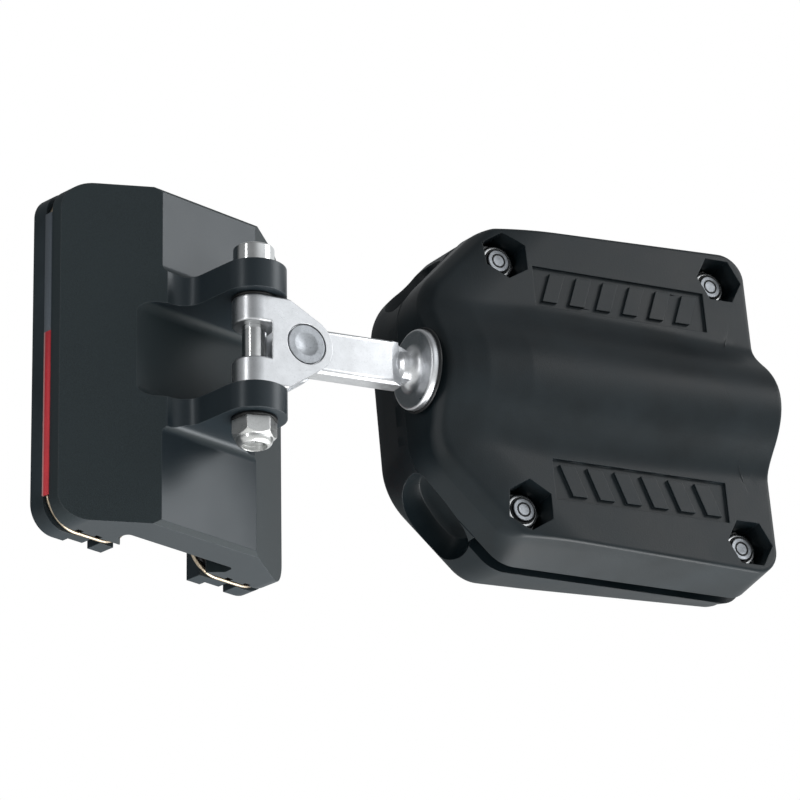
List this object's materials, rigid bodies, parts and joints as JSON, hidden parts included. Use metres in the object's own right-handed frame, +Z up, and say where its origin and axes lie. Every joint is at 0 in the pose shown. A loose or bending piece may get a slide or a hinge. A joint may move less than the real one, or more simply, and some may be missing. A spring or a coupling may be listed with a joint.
{
  "type": "mainsail batten car",
  "caption": "Ball-bearing mast-track car with a swivelling, pitching stainless toggle and a clamped two-part receptacle for a sail batten.",
  "frame": {"origin": "centre of the track slot at the car's mid-length, in the plane of the ball races", "axes": "+Z up the mast track, +X away from the mast, +Y across the track"},
  "size_m": [0.0927, 0.1867, 0.1006],
  "materials": {
    "anodised_body": "black hard-anodised, satin",
    "race_guides": "dark grey moulded, satin",
    "race_balls": "black acetal balls, smooth",
    "retaining_wires": "drawn stainless wire",
    "cover_strips": "printed red and grey stripe, no lettering",
    "stainless_fasteners": "turned stainless",
    "polished_pins": "polished stainless",
    "cast_stainless": "cast and tumbled stainless, fine grain",
    "black_washers": "black acetal",
    "moulded_shells": "black glass-filled nylon, satin with fine grain",
    "bronze_nut": "machined bronze",
    "inner_plastic": "black acetal"
  },
  "bodies": {
    "car": {"car_body": "anodised_body", "race_guide_right": "race_guides", "race_guide_left": "race_guides", "guide_screws": "stainless_fasteners", "race_balls_right": "race_balls", "race_balls_left": "race_balls", "retaining_wire_right": "retaining_wires", "retaining_wire_left": "retaining_wires", "cover_strip_right": "cover_strips", "cover_strip_left": "cover_strips", "clevis_pin": "polished_pins", "clevis_washer": "stainless_fasteners", "clevis_nut": "polished_pins"},
    "toggle": {"toggle_block": "cast_stainless", "toggle_washers": "black_washers", "cross_pin": "polished_pins", "cross_pin_clip": "stainless_fasteners"},
    "link": {"link_bar": "cast_stainless", "seat_washer": "black_washers", "stud_collar": "stainless_fasteners"},
    "receptacle": {"receptacle_front_shell": "moulded_shells", "receptacle_rear_shell": "moulded_shells", "clamp_bolts": "stainless_fasteners", "clamp_washers": "stainless_fasteners", "clamp_nuts": "stainless_fasteners"},
    "tensioner": {"tension_nut": "bronze_nut", "batten_shoe": "inner_plastic"}
  },
  "joints": [
    {"name": "toggle_swivel", "type": "hinge", "parent": "car", "child": "toggle", "pos_m": [0.0351, 0, 0.00125], "axis": [0, 0, 1], "range_deg": [-159.34, 8.66]},
    {"name": "link_pitch", "type": "hinge", "parent": "toggle", "child": "link", "pos_m": [0.03811, 0.01151, 0.00198], "axis": [0.9674, -0.2531, 0], "range_deg": [-28.09, 21.91]},
    {"name": "receptacle_turn", "type": "hinge", "parent": "link", "child": "receptacle", "pos_m": [0.0467, 0.04436, 0.00381], "axis": [0.2527, 0.966, 0.0539], "range_deg": [-720, 720]},
    {"name": "batten_tension", "type": "slide", "parent": "receptacle", "child": "tensioner", "axis": [0.2527, 0.966, 0.0539], "range_m": [-0.003, 0.003]}
  ],
  "couplings": [
    {"joint": "batten_tension", "follows": "receptacle_turn", "m_per_rad": -0.00023873}
  ]
}
